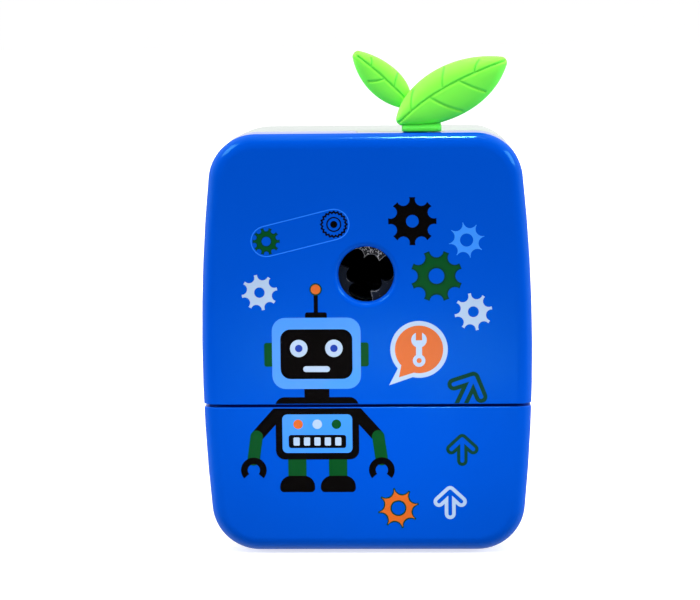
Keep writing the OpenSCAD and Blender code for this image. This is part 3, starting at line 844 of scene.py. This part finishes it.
def distance_to_path(point, path):
    best = 1e9
    for a, b in zip(path, path[1:]):
        span = b - a
        share = max(0.0, min(1.0, (point - a).dot(span) / span.length_squared))
        best = min(best, (point - a - span * share).length)
    return best


def leaf(name, upper, lower, rib, veins, middle_depth, half_thick, counts):
    """A puffy leaf: a lens across, closed to round ends, with veins pressed into its front."""
    along, across = counts
    around = 2 * across
    upper, lower = bezier(*upper, 40), bezier(*lower, 40)
    upper, lower = round_tip(upper, lower, LEAF_TIP_R)
    upper, lower = round_tip(upper[::-1], lower[::-1], LEAF_STEM_R)
    upper, lower = resample(upper[::-1], along), resample(lower[::-1], along)
    rib_path = bezier(*rib, 24)
    spine = resample([upper[0], *rib_path[2:-2], upper[-1]], along)
    grooves = [rib_path] + [bezier(*v, 6) for v in veins]
    rings, groove_shade_weights = [], []
    for i in range(along):
        half_wide = (upper[i] - lower[i]).length / 2
        height = half_thick * (1 - math.exp(-half_wide / (LEAF_THINNING * half_thick)))
        ring = []
        for j in range(around):
            angle = 2 * math.pi * (j + 0.5) / around
            v = -math.cos(angle)
            side = upper[i] if v > 0 else lower[i]
            p = spine[i].lerp(side, abs(v))
            rise = height * (1 - abs(v) ** LEAF_SECTION[0]) ** LEAF_SECTION[1]
            dent = 0.0
            if math.sin(angle) > 0:
                gap = min(distance_to_path(p, g) for g in grooves)
                dent = math.exp(-((gap / VEIN_HALF_WIDTH) ** 2))
                depth = middle_depth - rise + VEIN_DEPTH * dent
            else:
                depth = middle_depth + rise
            ring.append(Vector((p.x, from_front(depth), HOLE_Z + p.y)))
            groove_shade_weights.append(dent)
        rings.append(ring)
    made = loft(name, rings)
    # the groove marks carry the painted shade in the veins
    mark = made.data.attributes.new("groove_painted_shade", "FLOAT", "POINT")
    mark.data.foreach_set("value", groove_shade_weights)
    return made


def make_leaves():
    counts = ((170, 90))
    big = leaf("sprout_leaf_front", *BIG_LEAF, 5.0, 2.8, counts)
    counts = ((130, 70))
    small = leaf("sprout_leaf_back", *SMALL_LEAF, 7.3, 1.85, counts)
    rings = []
    for inset, back, z in (
        (0.3, 0.3, 33.65), (0.08, 0.08, 33.73), (0, 0, 33.95), (0, 0.1, 34.5), (0, 0.45, 34.9),
        (0.1, 1.1, 35.3), (0.3, 2.0, 35.7), (1.0, 2.6, 36.6)
    ):
        loop = round_rect(8.7 + inset, 2.6 + back, 18.1 - inset, 8.6 - inset, 1.6 - inset * 0.5)
        rings.append([Vector((p.x, from_front(p.y), HOLE_Z + z)) for p in loop])
    neck = loft("sprout_neck", rings)
    for piece, green in ((big, green_soft), (small, green_soft), (neck, neck_green_painted_shade)):
        place(smooth(piece, 50), "jaw_lever", green)
    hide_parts("leaf_lever")


# ---- prints on the front ----

INKS = {
    "black": linear(10, 8, 8), "green": linear(0, 78, 30), "dark_green": linear(6, 62, 40),
    "sky": linear(52, 142, 250), "pale": linear(170, 195, 226), "orange": linear(212, 99, 22),
    "navy": linear(0, 50, 170), "line": linear(30, 120, 245),
}
ink_materials = {name: plastic(f"ink_{name}", colour, 0.2, shift=0.06) for name, colour in INKS.items()}
LAYER = 0.0075  # of ink
INK_BACK = SKIN + 0.04  # prints start this deep, inside the plastic
GAP_MARGIN = 0.22  # they stop this far from the gap between the plate and the drawer
SAME_POINT = 0.0005  # points this close become one
HEAD_ANGLE = 43  # an arrow's head slopes down by this many degrees


def flat_solid(name, loops, front, back):
    """A thin solid between two depths from closed loops; a loop inside another is a hole."""
    drawing = bpy.data.curves.new(name, "CURVE")
    drawing.dimensions = "2D"
    drawing.fill_mode = "BOTH"
    drawing.extrude = (back - front) / 2
    for loop in loops:
        line = drawing.splines.new("POLY")
        line.points.add(len(loop) - 1)
        for point, p in zip(line.points, loop):
            point.co = (*p, 0, 1)
        line.use_cyclic_u = True
    drawn = new_object(name, drawing)
    mesh = bpy.data.meshes.new_from_object(drawn.evaluated_get(bpy.context.evaluated_depsgraph_get()))
    bpy.data.objects.remove(drawn)
    middle = Matrix.Translation((0, from_front((front + back) / 2), HOLE_Z))
    mesh.transform(middle @ Matrix.Rotation(math.pi / 2, 4, "X"))
    work = opened(mesh)
    bmesh.ops.remove_doubles(work, verts=work.verts, dist=SAME_POINT)
    save(work, mesh)
    return new_object(name, mesh)


def ink(name, loops, colour, layer=0, on_drawer=True):
    """A printed mark, cut at the gap if it crosses it; on_drawer=False leaves out the drawer's half."""
    front = SKIN - LAYER * (layer + 1)
    heights = [p[1] for loop in loops for p in loop]
    lowest, highest = min(heights) + HOLE_Z, max(heights) + HOLE_Z
    homes = []
    if highest > PLATE_BOTTOM + GAP_MARGIN:
        homes.append(("front_plate", PLATE_BOTTOM + GAP_MARGIN, 1))
    if on_drawer and lowest < SPLIT_Z - GAP_MARGIN:
        homes.append(("drawer", SPLIT_Z - GAP_MARGIN, -1))
    for body, edge, side in homes:
        mark = flat_solid(f"print_{name}_{body}", loops, front, INK_BACK)
        if (side > 0 and lowest < edge) or (side < 0 and highest > edge):
            keep_side(mark, edge, side)
        place(mark, body, ink_materials[colour])


def print_gear(name, x, z, tip_r, root_r, hole_r, teeth, tip_width, turn, colour, line=None, line_w=0):
    """A printed gear with a round hole, and with a thin outline if line is its colour."""
    outer = [gear(x, z, tip_r, root_r, teeth, tip_width, turn), circle(x, z, hole_r)]
    if not line:
        ink(name, outer, colour)
        return
    ink(f"{name}_line", outer, line)
    inner = gear(x, z, tip_r - line_w, root_r - line_w, teeth, max(0.05, tip_width - 2 * line_w), turn)
    ink(name, [inner, circle(x, z, hole_r + line_w)], colour, 1)


def arrow_loop(x, z, head, shaft, turn, radius):
    """The outline of round strokes: a head of two that meet at (x, z), and a shaft."""
    direction = polar(1, -HEAD_ANGLE)
    end = direction * head
    lower = Vector((direction.y, -direction.x)) * radius
    meet = lower + direction * ((radius - lower.x) / direction.x)
    slope = 90 - HEAD_ANGLE
    right = [meet] + arc(end.x, end.y, radius, slope - 180, slope, 10) + arc(0, 0, radius, slope, 90, 5)
    loop = arc(0, -shaft, radius, 270, 360, 6) + right
    loop += [Vector((-p.x, p.y)) for p in reversed(loop[1:-1])]
    for p in loop:
        p.rotate(Matrix.Rotation(math.radians(turn), 2))
    return [Vector((x, z)) + p for p in loop]


def arrow(name, x, z, head, shaft, turn, colour, radii, on_drawer=True):
    """An arrow drawn as an outline, between strokes of two radii."""
    ink(name, [arrow_loop(x, z, head, shaft, turn, radius) for radius in radii], colour, 0, on_drawer)


def scalloped(x, z, radius, wave, count):
    """A circle whose radius swings by wave, count times around."""
    middle = Vector((x, z))
    return [middle + polar(radius + wave * math.cos(math.radians(count * a)), a) for a in range(0, 360, 2)]


def print_machine_marks():
    left, right = (-23.6, 8.15), (-7.5, 12.1)
    ink("belt", [capsule(left, right, 3.75), capsule(left, right, 3.5)], "line")
    print_gear("belt_gear", *left, 3.25, 2.4, 1.1, 10, 0.9, 0, "green", "dark_green", 0.28)
    ring = scalloped(*right, 3.15, 0.17, 20)
    ink("belt_ring", [ring, scalloped(*right, 2.6, 0.17, 20)], "black")
    ink("belt_ring_middle", [circle(*right, 1.8), circle(*right, 1.47)], "black")
    ink("belt_ring_dot", [circle(*right, 0.85)], "black")
    print_gear("gear_black", 11.1, 12.75, 5.75, 4.05, 1.5, 8, 1.45, 0, "black")
    print_gear("gear_sky", 23.9, 8.2, 4.3, 2.9, 1.55, 8, 0.18, 12, "sky")
    print_gear("gear_green", 16.75, -0.35, 6.2, 4.45, 1.85, 8, 1.45, 22.5, "green", "dark_green", 0.38)
    print_gear("gear_pale_right", 25.45, -8.95, 4.5, 3.05, 1.3, 8, 0.75, 12, "pale")
    print_gear("gear_pale_left", -25.4, -4.1, 4.3, 3.0, 1.25, 8, 0.75, 12, "pale")
    print_gear("gear_orange", 7.3, -56.6, 5.0, 3.55, 1.6, 8, 0.5, 12, "orange", "dark_green", 0.36)
    arrow("arrow_tilted", 25.4, -24.9, 4.9, 9.0, -25, "dark_green", (1.52, 0.52), False)
    arrow("arrow_upper", 22.7, -39.75, 3.57, 5.25, 0, "dark_green", (1.28, 0.48))
    arrow("arrow_lower", 19.75, -52.5, 3.67, 5.5, 0, "pale", (1.32, 0.45))


def spanner_loop(x, top, bottom):
    """A small upright spanner with an open jaw at the top and a ring at the bottom."""
    half, jaw, head_r, ring_r = 0.72, 0.75, 1.85, 1.5
    sines = (half / ring_r, half / head_r, jaw / head_r)
    at_ring, at_head, at_jaw = (math.degrees(math.asin(v)) for v in sines)
    loop = arc(x, bottom, ring_r, 90 + at_ring, 450 - at_ring, 24)
    loop += arc(x, top, head_r, -90 + at_head, 90 - at_jaw, 16)
    loop += [Vector((x + jaw, top - 0.1)), Vector((x - jaw, top - 0.1))]
    return loop + arc(x, top, head_r, 90 + at_jaw, 270 - at_head, 16)


def print_bubble():
    x, z = 12.5, -17.95
    for name, radius, tip, colour, layer in (
        ("bubble_edge", 6.85, (5.3, -26.6), "pale", 0), ("bubble", 5.75, (7.65, -24.7), "orange", 1)
    ):
        ink(name, [arc(x, z, radius, -103, 222, 56) + [Vector(tip)]], colour, layer)
    ink("bubble_spanner", [spanner_loop(x, z + 2.3, z - 2.7), circle(x, z - 2.7, 0.62, 24)], "pale", 2)


def print_helper():
    """A plain toy robot: square head with a screen, square body with buttons, tube arms and legs."""
    x = -12.0

    def mark(name, loop, colour, layer):
        ink(f"helper_{name}", [loop], colour, layer)

    mark("mast", round_rect(x - 0.5, -10.0, x + 0.5, -4.6, 0.2), "black", 0)
    mark("lamp_edge", circle(x, -3.4, 1.5), "dark_green", 1)
    mark("lamp", circle(x, -3.4, 1.15), "orange", 2)
    for name, half_wide, low, high, radius, colour, layer in (
        ("cap", 2.6, -10.6, -8.9, 0.5, "black", 1), ("head", 10.6, -27.4, -10.2, 3.2, "sky", 2),
        ("screen", 8.6, -25.0, -13.0, 2.4, "black", 3), ("mouth", 3.2, -23.3, -21.9, 0.7, "pale", 4),
        ("neck", 3.0, -29.8, -27.0, 0.2, "black", 1), ("body", 10.0, -44.6, -29.4, 2.2, "black", 4),
        ("chest", 8.4, -43.0, -33.6, 1.2, "sky", 5), ("gauge_edge", 6.9, -41.8, -38.6, 0.6, "black", 5.5)
    ):
        mark(name, round_rect(x - half_wide, low, x + half_wide, high, radius), colour, layer)
    for k, colour in enumerate(("orange", "pale", "green")):
        mark(f"button_{k}", circle(x + (k - 1) * 4.6, -36.0, 1.15, 24), colour, 5.5)
    for k in range(5):
        bar_x = x + (k - 2) * 2.5
        mark(f"bar_{k}", round_rect(bar_x - 0.75, -41.2, bar_x + 0.75, -39.2, 0.3), "pale", 6)
    for side, word in SIDES:
        eye_x, ear_x, foot_x = (x + side * reach for reach in (4.2, 11.4, 4.9))
        mark(f"eye_{word}", circle(eye_x, -17.6, 2.1, 32), "pale", 4)
        mark(f"pupil_{word}", circle(eye_x, -17.6, 0.9, 24), "navy", 5)
        mark(f"ear_{word}", round_rect(ear_x - 1.1, -22.0, ear_x + 1.1, -16.2, 0.6), "green", 1)
        shoulder, elbow = (x + side * 9.6, -33.4), (x + side * 14.6, -39.0)
        wrist = Vector((x + side * 15.4, -44.6))
        mark(f"upper_arm_{word}", capsule(shoulder, elbow, 1.5), "black", 2)
        mark(f"forearm_{word}", capsule(elbow, wrist, 1.5), "green", 3)
        claw_z = wrist.y - 2.6
        claw = arc(wrist.x, claw_z, 3.1, -40, 220, 20) + arc(wrist.x, claw_z, 1.5, 220, -40, 16)
        mark(f"claw_{word}", claw, "black", 4)
        mark(f"leg_{word}", round_rect(foot_x - 2.2, -49.4, foot_x + 2.2, -44.2, 0.3), "green", 3)
        sole = round_rect(foot_x - 4.2, -52.6, foot_x + 4.2, -48.6, (0.9, 0.9, 2.6, 2.6))
        mark(f"foot_{word}", sole, "black", 4)


# ---- studio ----


def softbox(name, place_at, target, size, power, spread=180):
    """An area light in metres and watts; a small spread, in degrees, narrows its beam."""
    lamp = bpy.data.lights.new(name, "AREA")
    lamp.shape = "RECTANGLE"
    lamp.size, lamp.size_y = size
    lamp.energy = power
    lamp.spread = math.radians(spread)
    made = new_object(name, lamp)
    made.location = place_at
    made.rotation_euler = (Vector(target) - made.location).to_track_quat("-Z", "Y").to_euler()
    return made


def studio_piece(name, surface, shape, **sizes):
    """A piece of the studio, made by one of bmesh's own shapes, in metres."""
    mesh = bpy.data.meshes.new(name)
    work = bmesh.new()
    shape(work, **sizes)
    work.to_mesh(mesh)
    work.free()
    mesh.materials.append(surface.material)
    return new_object(name, mesh)


def make_floor():
    """A pale paper floor that glows a little, so that the ground stays white under soft light."""
    gloss = {"Roughness": 0.9, "Specular_IOR_Level": 0.1}
    paper = Surface("pale_paper", **gloss, Emission_Color=WHITE_LIGHT, Emission_Strength=0.62)
    paper.colours(paper.noise(6.0), (0.58, 0.58, 0.58), (0.62, 0.62, 0.62))
    floor = studio_piece("floor", paper, bmesh.ops.create_circle, cap_ends=True, segments=96, radius=4.0)
    floor.visible_glossy = floor.visible_diffuse = False


def make_surround():
    """A white dome that only closes the view; the sky's light passes through it."""
    black = (0.0, 0.0, 0.0)
    glow = Surface("white_surround", Base_Color=black, Emission_Color=WHITE_LIGHT, Emission_Strength=1.0)
    dome = studio_piece("surround", glow, bmesh.ops.create_icosphere, subdivisions=4, radius=4.2)
    dome.visible_diffuse = dome.visible_glossy = dome.visible_transmission = dome.visible_shadow = False


# along Y and along Z: from where, to where, and the strength at the first and at the second
SKY_DEPTH = (-0.7, 0.1, 0.0, 1.2)  # dark in front, rising to full strength at the sides and behind
SKY_HEIGHT = (-0.2, 0.9, 0.7, 1.15)  # weaker below the horizon, stronger overhead


def make_sky():
    """Soft light from all round: dark in front, bright behind, and brighter overhead than below."""
    world = bpy.data.worlds.new("studio")
    world.use_nodes = True
    tree = world.node_tree
    direction = tree.nodes.new("ShaderNodeTexCoord")
    parts = tree.nodes.new("ShaderNodeSeparateXYZ")
    product = tree.nodes.new("ShaderNodeMath")
    product.operation = "MULTIPLY"
    tree.links.new(direction.outputs["Generated"], parts.inputs["Vector"])
    for k, (axis, ramp) in enumerate((("Y", SKY_DEPTH), ("Z", SKY_HEIGHT))):
        rise = tree.nodes.new("ShaderNodeMapRange")
        for socket, value in zip(("From Min", "From Max", "To Min", "To Max"), ramp):
            rise.inputs[socket].default_value = value
        tree.links.new(parts.outputs[axis], rise.inputs["Value"])
        tree.links.new(rise.outputs["Result"], product.inputs[k])
    tree.links.new(product.outputs["Value"], tree.nodes["Background"].inputs["Strength"])
    tree.nodes["Background"].inputs["Color"].default_value = (*WHITE_LIGHT, 1.0)
    bpy.context.scene.world = world


def make_studio():
    """Two boxes and a strip that show in the gloss, and washes that don't."""
    make_floor()
    make_surround()
    make_sky()
    target = (0, FRONT_Y * MM, 0.07)
    softbox("left_box", (-0.8, -0.583, 0.87), target, (0.45, 0.45), 3.5)
    softbox("right_box", (0.99, -0.583, 0.61), target, (0.45, 0.45), 3.5)
    softbox("top_strip", (0.018, -0.34, 1.11), (0.018, -0.052, 0.1), (0.046, 0.11), 2.4)
    washes = [
        softbox("top_wash", (0.1, -0.5, 1.3), target, (0.7, 0.5), 9.5),
        softbox("left_wash", (-1.0, -0.17, 0.2), target, (0.5, 0.5), 3.0),
        softbox("right_wash", (1.0, -0.17, 0.2), target, (0.5, 0.5), 3.0),
        softbox("left_back_wash", (-1.1, 0.4, 0.2), target, (0.6, 0.6), 6.0),
        softbox("right_back_wash", (1.1, 0.4, 0.2), target, (0.6, 0.6), 6.0),
        softbox("back_wash", (0.2, 1.3, 0.25), target, (0.8, 0.8), 12.0),
        softbox("foot_card", (0, -0.17, 0.03), (0, FRONT_Y * MM, 0.03), (0.08, 0.02), 0.008, spread=55),
        softbox("floor_bounce", (0, -0.35, 0.003), (0, -0.3, 0.2), (0.6, 0.4), 1.0),
    ]
    for wash in washes:
        wash.visible_glossy = wash.visible_camera = False


def make_camera():
    """The camera stands a little right of the middle and above, and looks slightly down."""
    place_at = (0.0171, FRONT_Y * MM - 0.55, 0.1385)
    yaw, pitch, roll = (math.radians(a) for a in (-2.18, -7.91, -0.59))
    forward = Vector((math.sin(yaw) * math.cos(pitch), math.cos(yaw) * math.cos(pitch), math.sin(pitch)))
    right = Vector((math.cos(yaw), -math.sin(yaw), 0))
    up = right.cross(forward)
    tilted_right = math.cos(roll) * right + math.sin(roll) * up
    tilted_up = -math.sin(roll) * right + math.cos(roll) * up
    lens = bpy.data.cameras.new("camera")
    lens.sensor_width = 36.0
    lens.lens = 120.2
    camera = new_object("camera", lens)
    axes = Matrix((tilted_right, tilted_up, -forward)).transposed()
    camera.matrix_world = Matrix.Translation(place_at) @ axes.to_4x4()
    bpy.context.scene.camera = camera


# ---- build ----

make_camera()
make_studio()
dress_frame()
place(smooth(make_face_plate(), 25), "front_plate", blue_plastic, ["face_plate"])
place(smooth(make_drawer_front(), 25), "drawer", blue_plastic, ["drawer_front"])
place(smooth(make_casing()), "casing", white_plastic, ["body_shell"])
place(smooth(make_crank_arm()), "crank", white_plastic, ["crank_arm"])
place(smooth(make_knob(), 50), "knob", green_plastic, ["crank_knob"])
make_springs()
make_leaves()
print_machine_marks()
print_bubble()
print_helper()
bpy.context.scene.view_settings.view_transform = "Standard"
